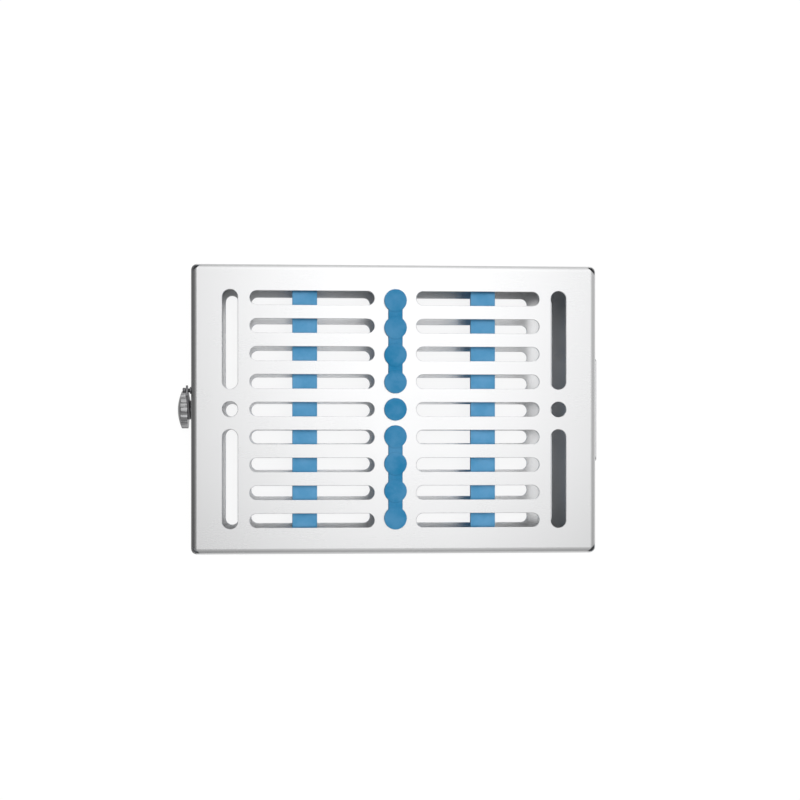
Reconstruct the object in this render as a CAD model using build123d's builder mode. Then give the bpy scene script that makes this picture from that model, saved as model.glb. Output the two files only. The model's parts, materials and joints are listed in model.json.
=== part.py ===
from build123d import *
import math
import os

# Hinged cassette for ten hand instruments, punched and folded from stainless sheet, with
# silicone rails and press pieces that hold the instruments apart.
# Millimetres. The origin is the middle of the base's underside: +Z is up, +X the hinge
# side, -X the latch side and +Y the rear.

# Case
case_length = 200.0
case_width = 142.2
base_height = 24.0
lid_height = 9.7
seam_gap = 0.3
sheet = 1.0
fold_radius = 3.0
relief_reach = 4.2
relief_margin = 0.9
lid_rim = base_height + seam_gap
case_height = lid_rim + lid_height
lid_inside = case_height - sheet
wall_outside = case_length / 2
wall_inside = wall_outside - sheet

# Punched pattern
row_count = 9
row_pitch = 13.64
slot_spacing = 81.7
lid_slot_length = 61.0
lid_slot_width = 7.0
lid_hole_diameter = 7.6
base_slot_length = 60.8
base_slot_width = 6.5
base_hole_diameter = 6.5
side_slot_length = 48.7
side_slot_spacing_x = 162.0
side_slot_spacing_y = 68.4

# Silicone rails in the base
rail_spacing = 88.8
rail_width = 12.3
rail_cheek = 2.2
rail_root_width = 5.2
rail_end_gap = 0.4
finger_top = 26.5
nest_diameter = 7.0
nest_drop = 6.0
nest_mouth = 4.4
finger_round = 1.8
bar_flange_width = 5.0
bar_flange_height = 1.0
bar_web_width = 1.2
bar_web_height = 9.0
bar_fit = 0.1
bar_round = 0.5
nest_level = finger_top - nest_drop
nest_places = [(number - row_count / 2) * row_pitch for number in range(row_count + 1)]

# Silicone press pieces in the lid
bead_pitch = 13.36
bead_diameter = 10.8
bead_height = 1.8
bead_round = 1.2
neck_width = 7.1
neck_height = 1.2
neck_round = 0.7
stem_diameter = 6.4
stem_fit = 0.1
pad_width = 8.6
pad_bottom = 22.6
pad_nest_play = 0.3
strip_bead_count = 4

# Hinge
hinge_length = 50.0
knuckle_count = 5
knuckle_radius = 1.0
knuckle_gap = 0.2
hinge_gap = 0.3
pin_radius = 0.5
pin_play = 0.05
pin_head_radius = 0.9
pin_head_height = 0.4
leaf_height = 6.8
leaf_sheet = 0.5
leaf_corner = 1.5
rivet_level = 4.3
rivet_spacing = 18.0
rivet_radius = 0.9
rivet_head_radius = 1.5
rivet_head_height = 0.5
rivet_fit = 0.05
hinge_x = wall_outside + hinge_gap + knuckle_radius
hinge_z = base_height + seam_gap / 2
knuckle_pitch = hinge_length / knuckle_count

# Latch
latch_level = 12.0
catch_height = 3.7
catch_y = 9.3
catch_neck_radius = 1.0
catch_head_radius = 1.3
catch_head_length = 1.4
catch_chamfer = 0.2
catch_collar_radius = 1.7
catch_collar_height = 0.8
catch_rivet_radius = 2.0
catch_rivet_height = 0.6
catch_fit = 0.05
bush_radius = 4.8
bush_height = 1.4
bush_spigot_radius = 3.0
bush_fit = 0.05
latch_play = 0.2
shaft_radius = 2.0
shaft_play = 0.05
shaft_tail = 1.2
hook_thickness = 1.0
hook_square = 4.4
hub_radius = 4.9
hook_clearance = 0.3
lip_depth = 1.6
jaw_depth = 2.4
lip_overlap = 4.0
heel_angle = 13.0
hook_round = 0.7
knob_diameter = 18.6
knob_rim = 3.2
knob_dome = 2.0
flute_count = 12
flute_radius = 2.2
flute_depth = 0.6
washer_thickness = 0.3
washer_dish = 0.5
washer_radius = 4.3
washer_gap = 0.1
clip_radius = 3.7
clip_thickness = 0.6
clip_fit = 0.05
clip_mouth = 2.6
groove_radius = 1.5
catch_level = lid_rim + catch_height
catch_rise = catch_level - latch_level
catch_reach = math.hypot(catch_y, catch_rise)
catch_angle = math.degrees(math.atan2(catch_rise, catch_y))
hook_face = wall_outside + bush_height + latch_play
knob_face = hook_face + hook_thickness
catch_head_face = knob_face + hook_clearance
clip_face = washer_gap + washer_dish + washer_thickness + washer_gap

STANDING = (Align.CENTER, Align.CENTER, Align.MIN)

os.makedirs("parts", exist_ok=True)


def finish(piece, name):
    """Names a finished piece and writes it."""
    piece.label = name
    export_step(piece, f"parts/{name}.step")


def punched_pattern(level, slot_length, slot_width, hole_diameter):
    """Faces of all slots and drain holes of one plate."""
    with BuildSketch(Plane.XY.offset(level)) as pattern:
        with GridLocations(slot_spacing, row_pitch, 2, row_count):
            SlotOverall(slot_length, slot_width)
        with GridLocations(side_slot_spacing_x, side_slot_spacing_y, 2, 2):
            SlotOverall(side_slot_length, hole_diameter, rotation=90)
        with GridLocations(side_slot_spacing_x, 0, 2, 1):
            Circle(hole_diameter / 2)
    return pattern.sketch


def corner_reliefs(level):
    """Faces of the four openings left where two folds meet at a corner."""
    with BuildSketch(Plane.XY.offset(level)) as reliefs:
        for side in (-1, 1):
            for end in (-1, 1):
                corner = (side * case_length / 2, end * case_width / 2)
                along_x = (corner[0] - side * relief_reach, corner[1])
                along_y = (corner[0], corner[1] - end * relief_reach)
                Polygon(corner, along_x, along_y, align=None)
        RectangleRounded(
            case_length - 2 * relief_margin,
            case_width - 2 * relief_margin,
            fold_radius - relief_margin,
            mode=Mode.INTERSECT,
        )
    return reliefs.sketch


def rivet_places():
    """Rivets of one hinge leaf along Y."""
    return [-rivet_spacing, 0, rivet_spacing]


def turned_about_x(y, z):
    """Plane through an axis along X: its own x runs along the axis, its y is the radius."""
    return Plane(origin=(0, y, z), x_dir=(1, 0, 0), z_dir=(0, -1, 0))


def dome(top, height, radius):
    """Arc of a low dome about the axis, from its rim to its top at a place on the axis."""
    ball = (radius**2 + height**2) / (2 * height)
    reach = math.degrees(math.asin(radius / ball))
    if top > 0:
        return CenterArc((top - ball, 0), ball, 0, reach)
    return CenterArc((top + ball, 0), ball, 180 - reach, reach)


def polar(radius, angle):
    """Point at a radius and an angle in degrees."""
    return (radius * math.cos(math.radians(angle)), radius * math.sin(math.radians(angle)))


def latch_plane(distance):
    """Plane across the latch shaft at a distance outside the middle of the case."""
    return Plane(origin=(-distance, 0, latch_level), x_dir=(0, 1, 0), z_dir=(1, 0, 0))


# Base tray: one sheet, punched, its four walls folded up and welded at the corners
with BuildPart() as base_tray:
    with BuildSketch():
        Rectangle(case_length, case_width)
    extrude(amount=base_height)
    floor_edges = base_tray.faces().sort_by(Axis.Z)[0].edges()
    fillet(base_tray.edges().filter_by(Axis.Z) + floor_edges, fold_radius)
    offset(amount=-sheet, openings=base_tray.faces().sort_by(Axis.Z)[-1])
    floor_pattern = punched_pattern(
        0, base_slot_length, base_slot_width, base_hole_diameter
    )
    extrude(floor_pattern, amount=sheet, mode=Mode.SUBTRACT)
    extrude(corner_reliefs(0), amount=fold_radius, mode=Mode.SUBTRACT)
    with BuildSketch(Plane.YZ.offset(wall_inside)):
        with Locations(*[(y, hinge_z - rivet_level) for y in rivet_places()]):
            Circle(rivet_radius + rivet_fit)
    extrude(amount=sheet, mode=Mode.SUBTRACT)
    with BuildSketch(latch_plane(wall_outside)):
        Circle(bush_spigot_radius + bush_fit)
    extrude(amount=sheet, mode=Mode.SUBTRACT)
finish(base_tray.part, "base_tray")

# Lid shell: the same sheet work turned over, with holes for the silicone stems
with BuildPart() as lid_shell:
    with BuildSketch(Plane.XY.offset(lid_rim)):
        Rectangle(case_length, case_width)
    extrude(amount=lid_height)
    plate_edges = lid_shell.faces().sort_by(Axis.Z)[-1].edges()
    fillet(lid_shell.edges().filter_by(Axis.Z) + plate_edges, fold_radius)
    offset(amount=-sheet, openings=lid_shell.faces().sort_by(Axis.Z)[0])
    plate_pattern = punched_pattern(
        case_height, lid_slot_length, lid_slot_width, lid_hole_diameter
    )
    extrude(plate_pattern, amount=-sheet, mode=Mode.SUBTRACT)
    with BuildSketch(Plane.XY.offset(case_height)):
        with GridLocations(0, bead_pitch, 1, 2 * strip_bead_count + 1):
            Circle(stem_diameter / 2 + stem_fit)
    extrude(amount=-sheet, mode=Mode.SUBTRACT)
    extrude(corner_reliefs(case_height), amount=-fold_radius, mode=Mode.SUBTRACT)
    with BuildSketch(Plane.YZ.offset(wall_inside)):
        with Locations(*[(y, hinge_z + rivet_level) for y in rivet_places()]):
            Circle(rivet_radius + rivet_fit)
    extrude(amount=sheet, mode=Mode.SUBTRACT)
    with BuildSketch(Plane.YZ.offset(-wall_outside)):
        with Locations((catch_y, catch_level)):
            Circle(catch_neck_radius + catch_fit)
    extrude(amount=sheet, mode=Mode.SUBTRACT)
finish(lid_shell.part, "lid_shell")

# Rail bars: a spot-welded bar of T section, upside down, on the floor under each rail
bar_length = case_width - 2 * (fold_radius + rail_end_gap)
flange_top = sheet + bar_flange_height
web_top = flange_top + bar_web_height
rail_sides = {"left": -rail_spacing / 2, "right": rail_spacing / 2}
for name, rail_x in rail_sides.items():
    with BuildPart() as rail_bar:
        with BuildSketch(Plane.XZ) as bar_section:
            with Locations((rail_x, sheet)):
                Rectangle(
                    bar_flange_width, bar_flange_height, align=(Align.CENTER, Align.MIN)
                )
            with Locations((rail_x, sheet)):
                Rectangle(
                    bar_web_width, web_top - sheet, align=(Align.CENTER, Align.MIN)
                )
            fillet(bar_section.vertices().group_by(Axis.Y)[-1], bar_round)
        extrude(amount=bar_length / 2, both=True)
    finish(rail_bar.part, f"rail_bar_{name}")

# Instrument rails: one moulding each, pushed onto its bar. The section narrows downwards,
# and the fingers leave a round nest with a narrow mouth for every instrument.
rail_length = case_width - 2 * (sheet + rail_end_gap)
rail_bottom = flange_top + bar_fit
cheek_bottom = finger_top - rail_cheek
for name, rail_x in rail_sides.items():
    with BuildPart() as instrument_rail:
        with BuildSketch(Plane.YZ.offset(rail_x)) as rail_profile:
            with Locations((0, web_top + bar_fit)):
                Rectangle(
                    rail_length,
                    finger_top - web_top - bar_fit,
                    align=(Align.CENTER, Align.MIN),
                )
            with Locations((0, rail_bottom)):
                Rectangle(
                    bar_length, nest_level - rail_bottom, align=(Align.CENTER, Align.MIN)
                )
            with Locations(*[(y, nest_level) for y in nest_places]):
                Circle(nest_diameter / 2, mode=Mode.SUBTRACT)
                Rectangle(
                    nest_mouth,
                    nest_drop,
                    align=(Align.CENTER, Align.MIN),
                    mode=Mode.SUBTRACT,
                )
            fillet(rail_profile.vertices().group_by(Axis.Y)[-1], finger_round)
        extrude(amount=rail_width / 2, both=True)
        with BuildSketch(Plane.XZ) as rail_section:
            with Locations((rail_x, 0)):
                Polygon(
                    (-rail_width / 2, finger_top),
                    (-rail_width / 2, cheek_bottom),
                    (-rail_root_width / 2, rail_bottom),
                    (rail_root_width / 2, rail_bottom),
                    (rail_width / 2, cheek_bottom),
                    (rail_width / 2, finger_top),
                    align=None,
                )
                Rectangle(
                    bar_web_width + 2 * bar_fit,
                    web_top + bar_fit,
                    align=(Align.CENTER, Align.MIN),
                    mode=Mode.SUBTRACT,
                )
        extrude(amount=case_width / 2, both=True, mode=Mode.INTERSECT)
    finish(instrument_rail.part, f"instrument_rail_{name}")

# Press pieces: silicone beads on the lid, joined by necks, with stems through the plate
# and a pad underneath that reaches down between the instruments
with BuildPart() as bead:
    with Locations((0, 0, case_height)):
        Cylinder(bead_diameter / 2, bead_height, align=STANDING)
    fillet(bead.edges().sort_by(Axis.Z)[-1], bead_round)
    with Locations((0, 0, lid_inside)):
        Cylinder(stem_diameter / 2, sheet, align=STANDING)


def press_piece(first_bead, bead_count):
    """One silicone moulding with its beads in a row along Y."""
    places = [(first_bead + number) * bead_pitch for number in range(bead_count)]
    middle = (places[0] + places[-1]) / 2
    span = places[-1] - places[0]
    with BuildPart() as piece:
        with Locations(*[(0, y, 0) for y in places]):
            add(bead.part)
        with BuildSketch(Plane.XY.offset(pad_bottom)):
            with Locations(*[(0, y) for y in places]):
                Circle(pad_width / 2)
            if span:
                with Locations((0, middle)):
                    Rectangle(pad_width, span)
        extrude(amount=lid_inside - pad_bottom)
        with Locations(*[(0, y, nest_level) for y in nest_places]):
            Cylinder(
                nest_diameter / 2 + pad_nest_play,
                pad_width,
                rotation=(0, 90, 0),
                mode=Mode.SUBTRACT,
            )
        if span:
            with BuildSketch(Plane.XZ.offset(-middle)) as neck_section:
                with Locations((0, case_height)):
                    Rectangle(neck_width, neck_height, align=(Align.CENTER, Align.MIN))
                fillet(neck_section.vertices().group_by(Axis.Y)[-1], neck_round)
            extrude(amount=span / 2, both=True)
    return piece.part


finish(press_piece(1, strip_bead_count), "press_strip_rear")
finish(press_piece(0, 1), "press_button_centre")
finish(press_piece(-strip_bead_count, strip_bead_count), "press_strip_front")


def hinge_leaf(up, first_knuckle):
    """Leaf with its own knuckles, above the hinge axis when up is 1 and below when -1."""
    own = range(first_knuckle, knuckle_count, 2)
    others = range(1 - first_knuckle, knuckle_count, 2)
    places = [(number - (knuckle_count - 1) / 2) * knuckle_pitch for number in own]
    notches = [(number - (knuckle_count - 1) / 2) * knuckle_pitch for number in others]
    near_edge = Align.MIN if up > 0 else Align.MAX
    with BuildPart() as leaf:
        with BuildSketch(Plane.YZ.offset(wall_outside)) as outline:
            with Locations((0, hinge_z + up * seam_gap / 2)):
                Rectangle(hinge_length, leaf_height, align=(Align.CENTER, near_edge))
            far_corners = outline.vertices().sort_by(Axis.Y, reverse=up > 0)[:2]
            fillet(far_corners, leaf_corner)
            with Locations(*[(y, hinge_z) for y in notches]):
                Rectangle(
                    knuckle_pitch + knuckle_gap,
                    2 * (knuckle_radius + hinge_gap),
                    mode=Mode.SUBTRACT,
                )
            with Locations(*[(y, hinge_z + up * rivet_level) for y in rivet_places()]):
                Circle(rivet_radius + rivet_fit, mode=Mode.SUBTRACT)
        extrude(amount=leaf_sheet)
        with Locations(*[(hinge_x, y, hinge_z) for y in places]):
            Cylinder(knuckle_radius, knuckle_pitch - knuckle_gap, rotation=(90, 0, 0))
        with Locations((hinge_x, 0, hinge_z)):
            Cylinder(
                pin_radius + pin_play, hinge_length, rotation=(90, 0, 0), mode=Mode.SUBTRACT
            )
    return leaf.part


# Hinge: two leaves with rolled knuckles on one pin, riveted to the walls
finish(hinge_leaf(-1, 0), "hinge_leaf_base")
finish(hinge_leaf(1, 1), "hinge_leaf_lid")

with BuildPart() as hinge_pin:
    with Locations((hinge_x, 0, hinge_z)):
        Cylinder(pin_radius, hinge_length + 2 * pin_head_height, rotation=(90, 0, 0))
    for end in (-1, 1):
        with Locations((hinge_x, end * (hinge_length + pin_head_height) / 2, hinge_z)):
            Cylinder(pin_head_radius, pin_head_height, rotation=(90, 0, 0))
finish(hinge_pin.part, "hinge_pin")

leaf_face = wall_outside + leaf_sheet
for name, up in (("base", -1), ("lid", 1)):
    with BuildPart() as hinge_rivets:
        for y in rivet_places():
            rivet_z = hinge_z + up * rivet_level
            with BuildSketch(turned_about_x(y, rivet_z)):
                with BuildLine():
                    Polyline(
                        (leaf_face + rivet_head_height, 0),
                        (wall_inside - rivet_head_height, 0),
                        (wall_inside - rivet_head_height, rivet_head_radius),
                        (wall_inside, rivet_head_radius),
                        (wall_inside, rivet_radius),
                        (leaf_face, rivet_radius),
                        (leaf_face, rivet_head_radius),
                    )
                    dome(leaf_face + rivet_head_height, rivet_head_height, rivet_head_radius)
                make_face()
            revolve(axis=Axis((0, y, rivet_z), (1, 0, 0)))
    finish(hinge_rivets.part, f"hinge_rivets_{name}")

# Catch pin: shouldered pin riveted into the lid's wall
with BuildPart() as catch_pin:
    catch_end = catch_head_face + catch_head_length
    with BuildSketch(turned_about_x(catch_y, catch_level)):
        with BuildLine():
            Polyline(
                (-wall_inside + catch_rivet_height, 0),
                (-wall_inside + catch_rivet_height, catch_rivet_radius),
                (-wall_inside, catch_rivet_radius),
                (-wall_inside, catch_neck_radius),
                (-wall_outside, catch_neck_radius),
                (-wall_outside, catch_collar_radius),
                (-wall_outside - catch_collar_height, catch_collar_radius),
                (-wall_outside - catch_collar_height, catch_neck_radius),
                (-catch_head_face, catch_neck_radius),
                (-catch_head_face, catch_head_radius),
                (-catch_end + catch_chamfer, catch_head_radius),
                (-catch_end, catch_head_radius - catch_chamfer),
                (-catch_end, 0),
                close=True,
            )
        make_face()
    revolve(axis=Axis((0, catch_y, catch_level), (1, 0, 0)))
finish(catch_pin.part, "catch_pin")

# Latch bush: ring pressed into the base's wall by its spigot, bored for the shaft
with BuildPart() as latch_bush:
    with BuildSketch(latch_plane(wall_outside)):
        Circle(bush_radius)
    extrude(amount=-bush_height)
    with BuildSketch(latch_plane(wall_outside)):
        Circle(bush_spigot_radius)
    extrude(amount=sheet)
    with BuildSketch(latch_plane(wall_outside + bush_height)):
        Circle(shaft_radius + shaft_play)
    extrude(amount=bush_height + sheet, mode=Mode.SUBTRACT)
finish(latch_bush.part, "latch_bush")

# Latch hook: a plate whose arc slot takes in the catch pin, the lip above the pin
slot_half = catch_neck_radius + hook_clearance
lip_radius = catch_reach + slot_half + lip_depth
jaw_radius = catch_reach - slot_half - jaw_depth
hook_start = catch_angle - lip_overlap
hook_sweep = lip_overlap + heel_angle
slot_start = hook_start - lip_overlap
slot_sweep = 2 * lip_overlap
with BuildPart() as latch_hook:
    with BuildSketch(latch_plane(hook_face)) as hook_outline:
        with BuildLine():
            lip_edge = CenterArc((0, 0), lip_radius, hook_start, hook_sweep)
            jaw_edge = CenterArc((0, 0), jaw_radius, hook_start, hook_sweep)
            Line(lip_edge @ 0, jaw_edge @ 0)
            Line(lip_edge @ 1, jaw_edge @ 1)
        make_face()
        fillet(hook_outline.vertices().group_by(SortBy.DISTANCE)[-1], hook_round)
        arm_end = jaw_radius + jaw_depth / 2
        Polygon(
            polar(arm_end, hook_start),
            polar(arm_end, hook_start + hook_sweep),
            polar(hub_radius, catch_angle + 90),
            polar(hub_radius, catch_angle - 90),
            align=None,
        )
        Circle(hub_radius)
        with BuildLine():
            slot_outer = CenterArc((0, 0), catch_reach + slot_half, slot_start, slot_sweep)
            slot_inner = CenterArc((0, 0), catch_reach - slot_half, slot_start, slot_sweep)
            Line(slot_outer @ 0, slot_inner @ 0)
            Line(slot_outer @ 1, slot_inner @ 1)
        make_face(mode=Mode.SUBTRACT)
        with Locations((catch_y, catch_rise)):
            Circle(slot_half, mode=Mode.SUBTRACT)
        Rectangle(hook_square, hook_square, mode=Mode.SUBTRACT)
    extrude(amount=-hook_thickness)
finish(latch_hook.part, "latch_hook")

# Latch knob: turned and fluted, with a square that turns the hook and a shaft that runs
# in the bush and carries the clip inside the case
knob_radius = knob_diameter / 2
knob_top = knob_face + knob_rim
shaft_end = wall_inside - clip_face - clip_thickness - shaft_tail
with BuildPart() as latch_knob:
    with BuildSketch(turned_about_x(0, latch_level)):
        with BuildLine():
            Polyline(
                (-knob_top - knob_dome, 0),
                (-knob_face, 0),
                (-knob_face, knob_radius),
                (-knob_top, knob_radius),
            )
            dome(-knob_top - knob_dome, knob_dome, knob_radius)
        make_face()
    revolve(axis=Axis((0, 0, latch_level), (1, 0, 0)))
    with BuildSketch(latch_plane(knob_face)):
        flute_ring = knob_radius + flute_radius - flute_depth
        with PolarLocations(flute_ring, flute_count, start_angle=180 / flute_count):
            Circle(flute_radius)
    extrude(amount=-knob_rim - knob_dome, mode=Mode.SUBTRACT)
    with BuildSketch(latch_plane(knob_face)):
        Rectangle(hook_square, hook_square)
    extrude(amount=hook_thickness)
    with BuildSketch(latch_plane(knob_face)):
        Circle(shaft_radius)
    extrude(amount=knob_face - shaft_end)
    with BuildSketch(latch_plane(wall_inside - clip_face)):
        Circle(shaft_radius)
        Circle(groove_radius, mode=Mode.SUBTRACT)
    extrude(amount=clip_thickness + clip_fit, mode=Mode.SUBTRACT)
finish(latch_knob.part, "latch_knob")

# Spring washer: dished ring that presses the hook lightly against the bush
with BuildPart() as latch_spring_washer:
    with BuildSketch(turned_about_x(0, latch_level)):
        rim_x = -wall_inside + washer_gap
        bore_radius = shaft_radius + latch_play
        with BuildLine():
            Polyline(
                (rim_x, washer_radius),
                (rim_x + washer_thickness, washer_radius),
                (rim_x + washer_thickness + washer_dish, bore_radius),
                (rim_x + washer_dish, bore_radius),
                close=True,
            )
        make_face()
    revolve(axis=Axis((0, 0, latch_level), (1, 0, 0)))
finish(latch_spring_washer.part, "latch_spring_washer")

# Clip: open ring snapped into the groove of the shaft
with BuildPart() as latch_clip:
    with BuildSketch(latch_plane(wall_inside - clip_face)):
        Circle(clip_radius)
        Circle(groove_radius + clip_fit, mode=Mode.SUBTRACT)
        with Locations((0, -clip_radius)):
            Rectangle(clip_mouth, 2 * clip_radius, mode=Mode.SUBTRACT)
    extrude(amount=clip_thickness)
finish(latch_clip.part, "latch_clip")
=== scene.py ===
import bpy
import json
import math
from mathutils import Matrix, Vector

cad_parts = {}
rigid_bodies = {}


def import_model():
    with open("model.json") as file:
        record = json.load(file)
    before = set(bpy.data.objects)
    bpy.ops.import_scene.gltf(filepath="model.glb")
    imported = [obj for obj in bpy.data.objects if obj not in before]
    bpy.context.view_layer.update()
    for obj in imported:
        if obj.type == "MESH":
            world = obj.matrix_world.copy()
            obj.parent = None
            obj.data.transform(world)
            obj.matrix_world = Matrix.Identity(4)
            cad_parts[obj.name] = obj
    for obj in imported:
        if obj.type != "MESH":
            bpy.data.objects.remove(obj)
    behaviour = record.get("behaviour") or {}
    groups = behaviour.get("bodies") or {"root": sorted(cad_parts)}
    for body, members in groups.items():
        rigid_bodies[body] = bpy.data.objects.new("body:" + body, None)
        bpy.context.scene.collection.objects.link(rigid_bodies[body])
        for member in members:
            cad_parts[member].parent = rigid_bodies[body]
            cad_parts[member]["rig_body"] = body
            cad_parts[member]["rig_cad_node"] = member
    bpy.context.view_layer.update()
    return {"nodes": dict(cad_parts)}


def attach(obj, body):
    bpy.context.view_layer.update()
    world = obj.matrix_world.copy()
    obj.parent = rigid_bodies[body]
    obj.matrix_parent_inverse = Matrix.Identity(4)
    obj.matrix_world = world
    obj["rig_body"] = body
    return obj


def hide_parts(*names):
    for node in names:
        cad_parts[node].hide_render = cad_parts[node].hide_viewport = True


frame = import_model()

# Base tray: one stainless sheet, punched with nine rows of slots, its walls folded up and
# the corners left open where two folds meet. Satin finished, with a fine grain lengthways.
mm = 0.001
case_length = 200.0 * mm
case_width = 142.2 * mm
base_height = 24.0 * mm
sheet = 1.0 * mm
fold_radius = 3.0 * mm
tray_relief = (0.9 * mm, 4.2 * mm)
lid_relief = (0.7 * mm, 5.0 * mm)
row_pitch = 13.64 * mm
slot_spacing = 81.7 * mm
base_slot = (60.8 * mm, 6.5 * mm)
base_hole = 6.5 * mm
side_slot_length = 48.7 * mm
side_slot_spacing = (162.0 * mm, 68.4 * mm)
punch_round = 0.2 * mm
punch_angle = 0.8
fold_segments = 10
half_length = case_length / 2
half_width = case_width / 2
rows = [(number - 4) * row_pitch for number in range(9)]
main_places = [(side * slot_spacing / 2, y) for side in (-1, 1) for y in rows]
side_places = [
    (side * side_slot_spacing[0] / 2, end * side_slot_spacing[1] / 2)
    for side in (-1, 1)
    for end in (-1, 1)
]
drain_places = [(side * side_slot_spacing[0] / 2, 0) for side in (-1, 1)]

# How close a place has to be, and how far a direction along an axis, to be picked.
tolerance = 0.1 * mm
mostly = 0.9
hardly = 0.1
round_facets = 48
half_facet = math.radians(180 / round_facets)
smooth_below = math.radians(35)
flat_weight = 60

# Steel, and the painted shade inside the lid's corners: from where to where each tint fades.
grain_along = (60.0, 4200.0, 4200.0)
cloud_scale = 38.0
pit_scale = 2600.0
grain_depth = 0.02 * mm
worn = 0.99
corner_shade_tone = (0.17, 0.17, 0.175, 1)
corner_shade_zone = (4.5 * mm, 3.5 * mm)
corner_shade_radius = (2.6 * mm, 2.9 * mm)
corner_shade_foot = (24.5 * mm, 27.0 * mm)
corner_shade_top = (31.5 * mm, 32.2 * mm)


def only(piece):
    """Makes a piece the one that is selected and active."""
    bpy.ops.object.select_all(action="DESELECT")
    piece.select_set(True)
    bpy.context.view_layer.objects.active = piece


def named(name):
    """Names the primitive that was just added and puts its place into its mesh."""
    piece = bpy.context.object
    piece.name = name
    only(piece)
    bpy.ops.object.transform_apply(location=True, rotation=True, scale=True)
    return piece


def block(name, low, high):
    """A box between two corners."""
    middle = [(a + b) / 2 for a, b in zip(low, high)]
    size = [b - a for a, b in zip(low, high)]
    bpy.ops.object.select_all(action="DESELECT")
    bpy.ops.mesh.primitive_cube_add(size=1, location=middle, scale=size)
    return named(name)


def pick(piece, kind, test):
    """Goes to edit mode with the faces or edges selected whose middle and direction pass."""
    only(piece)
    bpy.ops.object.mode_set(mode="EDIT")
    bpy.ops.mesh.select_mode(type=kind)
    bpy.ops.mesh.select_all(action="DESELECT")
    bpy.ops.object.mode_set(mode="OBJECT")
    mesh = piece.data
    if kind == "FACE":
        for face in mesh.polygons:
            face.select = test(face.center, face.normal)
    elif kind == "EDGE":
        for edge in mesh.edges:
            start, end = (mesh.vertices[number].co for number in edge.vertices)
            edge.select = test((start + end) / 2, (end - start).normalized())
    else:
        for corner in mesh.vertices:
            corner.select = test(corner.co)
    bpy.ops.object.mode_set(mode="EDIT")


def leave():
    """Back from edit mode."""
    bpy.ops.object.mode_set(mode="OBJECT")


def apply(piece, kind, **settings):
    """Adds a modifier with its settings and applies it."""
    only(piece)
    modifier = piece.modifiers.new(kind.lower(), kind)
    for name, value in settings.items():
        setattr(modifier, name, value)
    bpy.ops.object.modifier_apply(modifier=modifier.name)


def broken(piece, width, angle, segments=3, clamp=False):
    """Rounds off every edge that is sharper than an angle."""
    apply(
        piece,
        "BEVEL",
        width=width,
        segments=segments,
        limit_method="ANGLE",
        angle_limit=angle,
        use_clamp_overlap=clamp,
    )


def joined(pieces, name):
    """Several meshes as one."""
    bpy.ops.object.select_all(action="DESELECT")
    for piece in pieces:
        piece.select_set(True)
    bpy.context.view_layer.objects.active = pieces[0]
    if len(pieces) > 1:
        bpy.ops.object.join()
    pieces[0].name = name
    return pieces[0]


def shifted(piece, move):
    """A copy of a piece with its own mesh, moved."""
    twin = piece.copy()
    twin.data = piece.data.copy()
    twin.data.transform(Matrix.Translation(move))
    bpy.context.collection.objects.link(twin)
    return twin


def combine(piece, tool, operation):
    """Cuts a piece with a tool, or welds the tool to it, and removes the tool."""
    apply(piece, "BOOLEAN", object=tool, operation=operation, solver="EXACT")
    bpy.data.objects.remove(tool)


def slot_punch(size, places, low, high, upright=False):
    """Round-ended punches of one size at all their places."""
    length, width = size
    bpy.ops.object.select_all(action="DESELECT")
    bpy.ops.mesh.primitive_cylinder_add(
        vertices=round_facets,
        radius=width / 2,
        depth=high - low,
        location=(0, 0, (low + high) / 2),
        rotation=(0, 0, half_facet),
    )
    punch = named("punch")
    if length > width:
        axis = 1 if upright else 0
        for side in (-1, 1):
            move = [0, 0, 0]
            move[axis] = side * (length - width) / 2
            pick(punch, "VERT", lambda co: co[axis] * side > 0 and abs(co[axis]) <= width / 2)
            bpy.ops.transform.translate(value=move)
            leave()
    punches = [shifted(punch, (x, y, 0)) for x, y in places]
    bpy.data.objects.remove(punch)
    return punches


def plate_punches(slot, hole, low, high):
    """Punches for the rows of slots, the side slots and the drain holes of one plate."""
    return (
        slot_punch(slot, main_places, low, high)
        + slot_punch((side_slot_length, hole), side_places, low, high, upright=True)
        + slot_punch((hole, hole), drain_places, low, high)
    )


def folded_sheet(name, low, high, open_side):
    """A shallow box folded from sheet, open on top when open_side is 1 and below when -1."""
    piece = block(name, low, high)
    pick(piece, "FACE", lambda middle, normal: normal.z * open_side > mostly)
    bpy.ops.mesh.delete(type="FACE")
    leave()
    closed = low[2] if open_side > 0 else high[2]
    pick(
        piece,
        "EDGE",
        lambda middle, way: abs(way.z) > mostly or abs(middle.z - closed) < tolerance,
    )
    bpy.ops.mesh.bevel(
        offset=fold_radius, offset_type="OFFSET", segments=fold_segments, affect="EDGES"
    )
    leave()
    apply(piece, "SOLIDIFY", thickness=sheet, offset=-1.0, use_even_offset=True)
    return piece


def corner_openings(relief, low, high):
    """Small rounded openings where two folds meet at a corner."""
    margin, reach = relief
    leg = reach - 2 * margin
    cutters = []
    for side in (-1, 1):
        for end in (-1, 1):
            x = side * (half_length - margin)
            y = end * (half_width - margin)
            near = (min(x, x - side * leg), min(y, y - end * leg), low)
            far = (max(x, x - side * leg), max(y, y - end * leg), high)
            cutter = block("opening", near, far)
            pick(
                cutter,
                "EDGE",
                lambda middle, way: abs(way.z) > mostly
                and (middle.xy - Vector((x, y))).length < tolerance,
            )
            bpy.ops.mesh.bevel(
                offset=fold_radius - margin, segments=fold_segments, affect="EDGES"
            )
            bpy.ops.mesh.select_all(action="SELECT")
            bpy.ops.mesh.bisect(
                plane_co=(x - side * leg / 2, y - end * leg / 2, 0),
                plane_no=(-side, -end, 0),
                use_fill=True,
                clear_outer=True,
            )
            leave()
            cutters.append(cutter)
    return joined(cutters, "openings")


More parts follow.
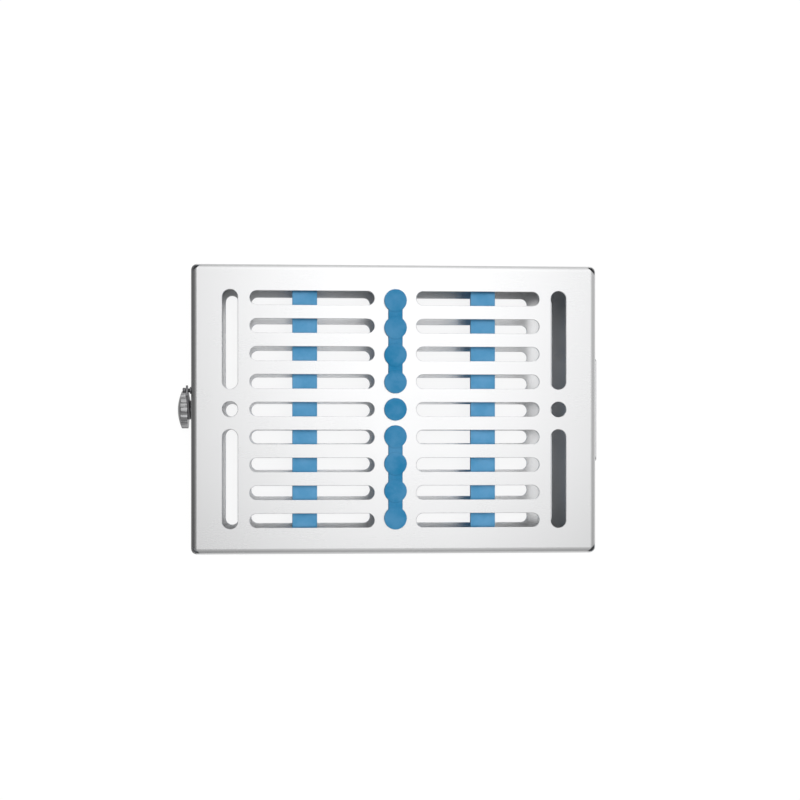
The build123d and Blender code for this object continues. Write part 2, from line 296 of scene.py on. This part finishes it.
def smooth(piece):
    """Smooth shading over roundings, with flat faces kept flat."""
    only(piece)
    bpy.ops.object.shade_smooth_by_angle(angle=smooth_below)
    apply(piece, "WEIGHTED_NORMAL", keep_sharp=True, weight=flat_weight)


class Wire:
    """A socket in a material's nodes, so that shader maths is written as an expression."""

    def __init__(self, tree, socket=None):
        self.tree = tree
        self.socket = socket

    def node(self, kind, settings, inputs, output=0):
        """Adds a node with its settings and the values or wires of its sockets."""
        made = self.tree.nodes.new(kind)
        for name, value in settings.items():
            setattr(made, name, value)
        for name, value in inputs.items():
            if isinstance(value, Wire):
                self.tree.links.new(value.socket, made.inputs[name])
            else:
                made.inputs[name].default_value = value
        return Wire(self.tree, made.outputs[output])

    def maths(self, operation, first, second=0.0):
        return self.node("ShaderNodeMath", {"operation": operation}, {0: first, 1: second})

    def axes(self):
        """The three coordinates of a place or a direction."""
        parts = self.node("ShaderNodeSeparateXYZ", {}, {"Vector": self}).socket.node.outputs
        return [Wire(self.tree, part) for part in parts]

    def __add__(self, other):
        return self.maths("ADD", self, other)

    def __sub__(self, other):
        return self.maths("SUBTRACT", self, other)

    def __rsub__(self, other):
        return self.maths("SUBTRACT", other, self)

    def __mul__(self, other):
        return self.maths("MULTIPLY", self, other)

    __radd__ = __add__
    __rmul__ = __mul__

    def smoothstep(self, start, end, low=0.0, high=1.0):
        """Goes smoothly from low to high while this value goes from start to end."""
        return self.node(
            "ShaderNodeMapRange",
            {"interpolation_type": "SMOOTHSTEP"},
            {"Value": self, "From Min": start, "From Max": end, "To Min": low, "To Max": high},
        )

    def noise(self, scale, detail):
        """Noise at this place."""
        return self.node(
            "ShaderNodeTexNoise", {}, {"Vector": self, "Scale": scale, "Detail": detail}
        )

    def bump(self, strength, distance):
        """Normals bent by this height."""
        return self.node(
            "ShaderNodeBump", {}, {"Height": self, "Strength": strength, "Distance": distance}
        )

    def blend(self, first, second):
        """Colour from first to second by this value."""
        return self.node(
            "ShaderNodeMix",
            {"data_type": "RGBA"},
            {0: self, 6: first, 7: second},
            output=2,
        )


def new_material(name):
    """An empty material with one shader: its start wire and the shader node."""
    material = bpy.data.materials.new(name)
    material.use_nodes = True
    return material, Wire(material.node_tree), material.node_tree.nodes["Principled BSDF"]


def connect(wire, shader, socket):
    wire.tree.links.new(wire.socket, shader.inputs[socket])


def painted_corner_shade(place):
    """1 inside the four corners of the lid, where dark shade is painted, and 0 elsewhere."""
    x, y, z = place.axes()
    x = x.maths("ABSOLUTE", x)
    y = y.maths("ABSOLUTE", y)
    past_x = x.maths("MAXIMUM", x - (half_length - fold_radius))
    past_y = y.maths("MAXIMUM", y - (half_width - fold_radius))
    reach = x.maths("SQRT", past_x * past_x + past_y * past_y)
    start, end = corner_shade_zone
    near_corner = x.smoothstep(half_length - start, half_length - end) * y.smoothstep(
        half_width - start, half_width - end
    )
    inside = reach.smoothstep(*corner_shade_radius, 1.0, 0.0)
    upper = z.smoothstep(*corner_shade_top, 1.0, 0.0)
    lower = z.smoothstep(*corner_shade_foot)
    return near_corner * inside * (upper * lower)


def metal(name, tone, roughness, grain, stretch, corner_shaded=False):
    """Stainless steel: a fine grain along one axis, faint clouding and small pits, and where
    asked, painted shade in the lid's corners.
    """
    material, start, shader = new_material(name)
    shader.inputs["Metallic"].default_value = 1.0
    place = start.node("ShaderNodeTexCoord", {}, {}, output="Object")
    streaks = place.node("ShaderNodeMapping", {}, {"Vector": place, "Scale": stretch})
    lines = streaks.noise(1.0, 4.0)
    clouds = place.noise(cloud_scale, 3.0)
    pits = place.noise(pit_scale, 2.0)
    connect(roughness + 0.015 * (lines - 0.5) + 0.04 * (clouds - 0.5), shader, "Roughness")
    dull = [level * worn for level in tone]
    shade = (0.75 * clouds + 0.25 * lines).smoothstep(0.3, 0.7)
    colour = shade.blend((*dull, 1), (*tone, 1))
    if corner_shaded:
        # Painted shade: the lid's corners are darkened to a near-black grey.
        colour = painted_corner_shade(place).blend(colour, corner_shade_tone)
    connect(colour, shader, "Base Color")
    connect((0.7 * lines + 0.3 * pits).bump(grain, grain_depth), shader, "Normal")
    return material


def dress(piece, material):
    """Gives a piece its one material."""
    piece.data.materials.clear()
    piece.data.materials.append(material)
    return piece


# The lid's steel has painted shade in its four corners.
satin_sheet = metal("satin_sheet", (0.86, 0.862, 0.868), 0.27, 0.02, grain_along, corner_shaded=True)
# The tray's steel has a lighter tone than the lid's; the extra lightness is painted light on the
# shaded floor inside the case.
tray_steel_painted_lighter = metal("tray_steel_painted_lighter", (0.92, 0.922, 0.928), 0.26, 0.03, grain_along)

tray = folded_sheet(
    "tray_sheet", (-half_length, -half_width, 0), (half_length, half_width, base_height), 1
)
punches = plate_punches(base_slot, base_hole, -2 * mm, 2 * mm)
combine(tray, joined(punches, "punches"), "DIFFERENCE")
broken(tray, punch_round, punch_angle)
combine(tray, corner_openings(tray_relief, -1 * mm, fold_radius), "DIFFERENCE")
smooth(tray)
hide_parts("base_tray")
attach(dress(tray, tray_steel_painted_lighter), "base")

# Rail bars: two stainless bars of T section, upside down, spot-welded to the floor. The
# silicone rails are pushed down onto their webs.
merge_gap = 0.001 * mm
flat_within = math.radians(0.5)
eased_angle = 0.6
bar_round = 0.15 * mm


def eased(node, name, width, segments=2):
    """A copy of a CAD piece with its facets merged and its edges broken."""
    piece = frame["nodes"][node].copy()
    piece.data = piece.data.copy()
    piece.name = name
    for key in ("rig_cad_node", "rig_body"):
        if key in piece:
            del piece[key]
    piece.parent = None
    bpy.context.collection.objects.link(piece)
    only(piece)
    bpy.ops.object.mode_set(mode="EDIT")
    bpy.ops.mesh.select_all(action="SELECT")
    bpy.ops.mesh.remove_doubles(threshold=merge_gap)
    bpy.ops.mesh.customdata_custom_splitnormals_clear()
    bpy.ops.mesh.dissolve_limited(angle_limit=flat_within)
    leave()
    broken(piece, width, eased_angle, segments, clamp=True)
    smooth(piece)
    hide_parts(node)
    return piece


for side in ("left", "right"):
    bar = eased(f"rail_bar_{side}", f"tee_bar_{side}", bar_round)
    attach(dress(bar, satin_sheet), "base")

# Instrument rails: blue silicone mouldings, narrower below, with ten round nests each. The
# fingers between the nests show through the slots of the lid.
rail_spacing = 88.8 * mm
rail_width = 12.3 * mm
rail_length = 139.4 * mm
rail_bottom = 2.1 * mm
rail_root_width = 5.2 * mm
rail_cheek = 2.2 * mm
finger_top = 26.5 * mm
nest_level = 20.5 * mm
nest_radius = 3.5 * mm
nest_mouth = 4.4 * mm
finger_round = 1.8 * mm
rail_round = 0.35 * mm
rail_angle = 0.7
root_length = 135.4 * mm
web_slot = 1.4 * mm
web_slot_top = 11.1 * mm
nests = [(number - 4.5) * row_pitch for number in range(10)]
dust_scale = 3500.0
flow_scale = 120.0
skin_strength = 0.35
skin_depth = 0.03 * mm
sheen = 0.2
paler = 0.06
deeper = 0.88


def silicone(name, colour, roughness):
    """Moulded silicone: matt skin with a fine dusty grain and faint flow clouds."""
    material, start, shader = new_material(name)
    shader.inputs["Specular IOR Level"].default_value = sheen
    place = start.node("ShaderNodeTexCoord", {}, {}, output="Object")
    grain = place.noise(dust_scale, 2.0)
    clouds = place.noise(flow_scale, 3.0)
    pale = [level + paler * (1 - level) for level in colour]
    deep = [level * deeper for level in colour]
    shade = (0.7 * clouds + 0.3 * grain).smoothstep(0.3, 0.7)
    connect(shade.blend((*deep, 1), (*pale, 1)), shader, "Base Color")
    connect(roughness + 0.16 * (clouds - 0.5) + 0.10 * (grain - 0.5), shader, "Roughness")
    connect(grain.bump(skin_strength, skin_depth), shader, "Normal")
    return material


def lying_round(name, x, y, radius, length):
    """A round bar along X at the level of the nests."""
    bpy.ops.object.select_all(action="DESELECT")
    bpy.ops.mesh.primitive_cylinder_add(
        vertices=round_facets,
        radius=radius,
        depth=length,
        location=(x, y, nest_level),
        rotation=(0, math.radians(90), 0),
    )
    return named(name)


# The rails' silicone is a paler blue than the beads'; the extra paleness is painted light on the
# rails down in the shaded tray.
rail_silicone_painted_paler = silicone("rail_silicone_painted_paler", (0.10, 0.37, 0.65), 0.5)
for side, rail_x in (("left", -rail_spacing / 2), ("right", rail_spacing / 2)):
    edge = rail_width / 2
    rail = block(
        f"silicone_rail_{side}",
        (rail_x - edge, -rail_length / 2, rail_bottom),
        (rail_x + edge, rail_length / 2, finger_top),
    )
    only(rail)
    bpy.ops.object.mode_set(mode="EDIT")
    bpy.ops.mesh.select_all(action="SELECT")
    bpy.ops.mesh.bisect(plane_co=(0, 0, finger_top - rail_cheek), plane_no=(0, 0, 1))
    leave()
    pick(rail, "FACE", lambda middle, normal: normal.z < -mostly)
    bpy.ops.transform.resize(
        value=(rail_root_width / rail_width, 1, 1), center_override=(rail_x, 0, rail_bottom)
    )
    leave()
    ends = [
        block(
            "end",
            (rail_x - rail_width, min(end * root_length / 2, end * case_width), 0),
            (rail_x + rail_width, max(end * root_length / 2, end * case_width), web_slot_top),
        )
        for end in (-1, 1)
    ]
    combine(rail, joined(ends, "ends"), "DIFFERENCE")
    web = block(
        "web",
        (rail_x - web_slot / 2, -case_width, 0),
        (rail_x + web_slot / 2, case_width, web_slot_top),
    )
    combine(rail, web, "DIFFERENCE")
    cutters = []
    for y in nests:
        nest = lying_round("nest", rail_x, y, nest_radius, rail_width + 2 * mm)
        mouth = block(
            "mouth",
            (rail_x - edge - mm, y - nest_mouth / 2, nest_level),
            (rail_x + edge + mm, y + nest_mouth / 2, finger_top + mm),
        )
        combine(nest, mouth, "UNION")
        cutters.append(nest)
    combine(rail, joined(cutters, "nests"), "DIFFERENCE")
    pick(
        rail,
        "EDGE",
        lambda middle, way: abs(way.x) > mostly and abs(middle.z - finger_top) < tolerance,
    )
    bpy.ops.mesh.bevel(offset=finger_round, segments=7, affect="EDGES")
    leave()
    broken(rail, rail_round, rail_angle)
    smooth(rail)
    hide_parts(f"instrument_rail_{side}")
    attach(dress(rail, rail_silicone_painted_paler), "base")

# Latch: a turned and fluted knob with the hook plate behind it. Its shaft runs in a bush
# in the base's wall and is held inside by a dished washer and an open clip.
grain_around = (900.0, 900.0, 900.0)
bright_steel = metal("bright_steel", (0.74, 0.74, 0.75), 0.22, 0.15, grain_around)
turned_steel = metal("turned_steel", (0.52, 0.52, 0.53), 0.22, 0.15, grain_around)
# A darker steel for the bush, the hook plate and the catch pin; its darkness is painted shade in
# the gap around the latch.
painted_shade_steel = metal("painted_shade_steel", (0.24, 0.24, 0.25), 0.3, 0.15, grain_around)
latch_pieces = (
    ("latch_bush", "wall_bush", 0.15, painted_shade_steel, "base"),
    ("latch_hook", "hook_plate", 0.12, painted_shade_steel, "latch"),
    ("latch_knob", "fluted_knob", 0.25, turned_steel, "latch"),
    ("latch_spring_washer", "dished_washer", 0.05, bright_steel, "latch"),
    ("latch_clip", "shaft_clip", 0.08, bright_steel, "latch"),
)
for node, name, width, steel, body in latch_pieces:
    piece = eased(node, name, width * mm, segments=3)
    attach(dress(piece, steel), body)

# Hinge: two stamped leaves with rolled knuckles on a headed pin, each riveted to its wall
# by three rivets.
hinge_pieces = (
    ("hinge_leaf_base", "base_leaf", 0.12, "base"),
    ("hinge_pin", "headed_pin", 0.1, "base"),
    ("hinge_rivets_base", "base_rivets", 0.1, "base"),
    ("hinge_leaf_lid", "lid_leaf", 0.12, "lid"),
    ("hinge_rivets_lid", "lid_rivets", 0.1, "lid"),
)
for node, name, width, body in hinge_pieces:
    piece = eased(node, name, width * mm)
    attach(dress(piece, bright_steel), body)

# Lid: the same sheet work turned over, with nine holes on its centre line for the stems
# of the silicone beads. Its punched edges are broken all round.
lid_rim = 24.3 * mm
case_height = 34.0 * mm
lid_slot = (61.0 * mm, 7.0 * mm)
lid_hole = 7.6 * mm
bead_pitch = 13.36 * mm
beads = [(number - 4) * bead_pitch for number in range(9)]
stem_hole = 6.6 * mm

lid = folded_sheet(
    "lid_sheet",
    (-half_length, -half_width, lid_rim),
    (half_length, half_width, case_height),
    -1,
)
through = (case_height - 2 * mm, case_height + 2 * mm)
punches = plate_punches(lid_slot, lid_hole, *through)
punches += slot_punch((stem_hole, stem_hole), [(0, y) for y in beads], *through)
combine(lid, joined(punches, "punches"), "DIFFERENCE")
broken(lid, punch_round, punch_angle)
combine(lid, corner_openings(lid_relief, case_height - 6 * mm, case_height + mm), "DIFFERENCE")
smooth(lid)
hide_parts("lid_shell")
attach(dress(lid, satin_sheet), "lid")

# Press pieces: soft blue beads on the lid's centre line, four and four joined by necks and
# one alone, each with stems through the plate and a pad below that holds the handles.
bead_radius = 5.55 * mm
bead_height = 1.8 * mm
bead_round = 1.2 * mm
bead_crown = 0.25 * mm
neck_width = 7.1 * mm
neck_height = 1.2 * mm
stem_radius = 3.2 * mm
pad_width = 8.6 * mm
pad_bottom = 22.6 * mm
pad_gap = 0.02 * mm
hollow_radius = nest_radius + 0.3 * mm
crown_step = 0.01 * mm
crown_rings = (1.0 * mm, 1.6 * mm, 1.4 * mm)
rim_tolerance = 0.006 * mm
neck_round = 0.7 * mm
voxel = 0.24 * mm
lid_inside = case_height - sheet
bead_silicone = silicone("bead_silicone", (0.016, 0.224, 0.449), 0.5)


def upright_round(name, y, radius, low, high):
    """A round block standing on the lid's centre line."""
    bpy.ops.object.select_all(action="DESELECT")
    bpy.ops.mesh.primitive_cylinder_add(
        vertices=64, radius=radius, depth=high - low, location=(0, y, (low + high) / 2)
    )
    return named(name)


def press_piece(name, places):
    """One moulding: beads, necks, stems and the pad with its hollows, softly blended."""
    solids = []
    top = case_height + bead_height
    for y in places:
        bead = upright_round("bead", y, bead_radius, case_height, top)
        pick(bead, "FACE", lambda middle, normal: normal.z > mostly)
        bpy.ops.mesh.inset(thickness=crown_step)
        for ring in crown_rings:
            bpy.ops.mesh.inset(thickness=ring)
            bpy.ops.transform.translate(value=(0, 0, crown_step))
        leave()
        for corner in bead.data.vertices:
            if corner.co.z > case_height + mm:
                reach = math.hypot(corner.co.x, corner.co.y - y) / bead_radius
                corner.co.z = top - bead_crown * reach**2
        pick(
            bead,
            "EDGE",
            lambda middle, way: abs(way.z) < hardly
            and middle.z > case_height + mm
            and math.hypot(middle.x, middle.y - y) > bead_radius - rim_tolerance,
        )
        bpy.ops.mesh.bevel(offset=bead_round, segments=8, affect="EDGES")
        leave()
        solids.append(bead)
        solids.append(
            upright_round("stem", y, stem_radius, lid_inside - mm, case_height + 0.5 * mm)
        )
    span = places[-1] - places[0]
    middle_y = (places[-1] + places[0]) / 2
    pad = block(
        "pad",
        (-pad_width / 2, places[0] - pad_width / 2, pad_bottom),
        (pad_width / 2, places[-1] + pad_width / 2, lid_inside - pad_gap),
    )
    pick(pad, "EDGE", lambda middle, way: abs(way.z) > mostly)
    bpy.ops.mesh.bevel(offset=pad_width / 2 - 0.05 * mm, segments=12, affect="EDGES")
    leave()
    hollows = []
    for y in nests:
        if places[0] - row_pitch < y < places[-1] + row_pitch:
            hollows.append(lying_round("hollow", 0, y, hollow_radius, pad_width + 2 * mm))
    combine(pad, joined(hollows, "hollows"), "DIFFERENCE")
    solids.append(pad)
    if span > 0:
        neck = block(
            "neck",
            (-neck_width / 2, middle_y - span / 2, case_height),
            (neck_width / 2, middle_y + span / 2, case_height + neck_height),
        )
        pick(
            neck,
            "EDGE",
            lambda middle, way: abs(way.y) > mostly and middle.z > case_height + 0.5 * mm,
        )
        bpy.ops.mesh.bevel(offset=neck_round, segments=5, affect="EDGES")
        leave()
        solids.append(neck)
    piece = joined(solids, name)
    apply(piece, "REMESH", mode="VOXEL", voxel_size=voxel)
    apply(piece, "SMOOTH", factor=0.5, iterations=3)
    only(piece)
    bpy.ops.object.shade_smooth()
    return piece


press_pieces = (
    ("bead_strip_rear", "press_strip_rear", beads[5:]),
    ("bead_single", "press_button_centre", beads[4:5]),
    ("bead_strip_front", "press_strip_front", beads[:4]),
)
for name, node, places in press_pieces:
    piece = press_piece(name, places)
    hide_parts(node)
    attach(dress(piece, bead_silicone), "lid")

# Catch pin: a small shouldered pin riveted into the lid's wall above the hook.
pin = eased("catch_pin", "shouldered_pin", 0.1 * mm)
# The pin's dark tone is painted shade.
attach(dress(pin, painted_shade_steel), "lid")

# Studio: a white table that glows a little, and so lights the case from below too, with a
# painted shadow under the case and painted shade in its reflections to the left; an unseen lamp
# above, a world whose mirror image is a soft panel darker to the left and front, and a camera
# over the left half that looks down.
table_size = 40.0
paper_tone = (0.8, 0.8, 0.8, 1)
white = (1, 1, 1, 1)
glow_strength = 1.06
dim_strength = 0.05
painted_case_shadow_edge = 8 * mm
panel_strength = 1.61
ambient = 0.35

bpy.ops.object.select_all(action="DESELECT")
bpy.ops.mesh.primitive_plane_add(size=table_size)
table = named("table_top")
paper = bpy.data.materials.new("white_paper")
paper.use_nodes = True
paper_tree = paper.node_tree
paper_shader = paper_tree.nodes["Principled BSDF"]
paper_shader.inputs["Base Color"].default_value = paper_tone
paper_shader.inputs["Roughness"].default_value = 0.9
start = Wire(paper_tree)
seen_ray = start.node("ShaderNodeLightPath", {}, {}, output="Is Camera Ray")
mirrored = start.node("ShaderNodeLightPath", {}, {}, output="Is Glossy Ray")
scattered = start.node("ShaderNodeLightPath", {}, {}, output="Is Diffuse Ray")
spot = start.node("ShaderNodeTexCoord", {}, {}, output="Object")
x, y, _ = spot.axes()
# Painted shade: to the left of the case the table is dimmed in what metal reflects.
shadow = x.smoothstep(-0.13, -0.1, 0.9, 0.3)
far_x = x.maths("ABSOLUTE", x)
far_y = y.maths("ABSOLUTE", y)
# Painted shadow: under the case the table glows a little less for the camera.
painted_case_shadow = far_x.smoothstep(half_length - painted_case_shadow_edge, half_length, 1.0, 0.0) * far_y.smoothstep(
    half_width - painted_case_shadow_edge, half_width, 1.0, 0.0
)
glow = start.node("ShaderNodeEmission", {}, {"Color": white, "Strength": glow_strength})
seen = start.node(
    "ShaderNodeMixShader",
    {},
    {
        0: (0.9 - 0.08 * painted_case_shadow) * seen_ray + 0.7 * mirrored + 0.6 * scattered,
        1: Wire(paper_tree, paper_shader.outputs[0]),
        2: glow,
    },
)
dim = start.node("ShaderNodeEmission", {}, {"Color": white, "Strength": dim_strength})
seen = start.node("ShaderNodeMixShader", {}, {0: mirrored * shadow, 1: seen, 2: dim})
paper_tree.links.new(seen.socket, paper_tree.nodes["Material Output"].inputs["Surface"])
table.data.materials.append(paper)

world = bpy.data.worlds.new("studio")
bpy.context.scene.world = world
world.use_nodes = True
start = Wire(world.node_tree)
direction = start.node("ShaderNodeTexCoord", {}, {}, output="Generated")
across, along, _ = direction.axes()
left = across.smoothstep(-1.0, -0.15, 0.08, 0.29) + across.smoothstep(-0.19, 0.07, 0.0, 0.71)
right = across.smoothstep(0.18, 0.22, 1.0, 0.5) * across.smoothstep(0.3, 0.95, 1.0, 0.64)
rear = along.smoothstep(0.75, 1.0, 1.0, 0.64)
front = along.smoothstep(-0.125, -0.06, 0.48, 1.0) * along.smoothstep(-1.0, -0.35, 0.64, 1.0)
panel = panel_strength * (left * right * rear * front)
glossy = start.node("ShaderNodeLightPath", {}, {}, output="Is Glossy Ray")
camera_ray = start.node("ShaderNodeLightPath", {}, {}, output="Is Camera Ray")
level = glossy * panel + (1 - glossy) * ambient
level = camera_ray + (1 - camera_ray) * level
background = world.node_tree.nodes["Background"]
background.inputs["Color"].default_value = white
world.node_tree.links.new(level.socket, background.inputs["Strength"])

lamp_data = bpy.data.lights.new("overhead_panel", "AREA")
lamp_data.shape = "RECTANGLE"
lamp_data.size = 0.5
lamp_data.size_y = 0.4
lamp_data.energy = 7.6
lamp = bpy.data.objects.new("overhead_panel", lamp_data)
bpy.context.collection.objects.link(lamp)
lamp.location = (0.05, 0.06, 1.1)
lamp.rotation_euler = (Vector((0, 0, 0)) - lamp.location).to_track_quat("-Z", "Y").to_euler()
lamp.visible_glossy = False

camera_data = bpy.data.cameras.new("camera")
camera_data.lens = 60.1
camera_data.sensor_width = 36.0
camera_data.shift_x = 0.05
camera_data.shift_y = 0.0417
camera = bpy.data.objects.new("camera", camera_data)
bpy.context.collection.objects.link(camera)
camera.location = (-0.0564, -0.0118, 0.688)
camera.rotation_euler = (0, math.radians(-3.41), 0)
bpy.context.scene.camera = camera
bpy.context.scene.view_settings.view_transform = "Standard"
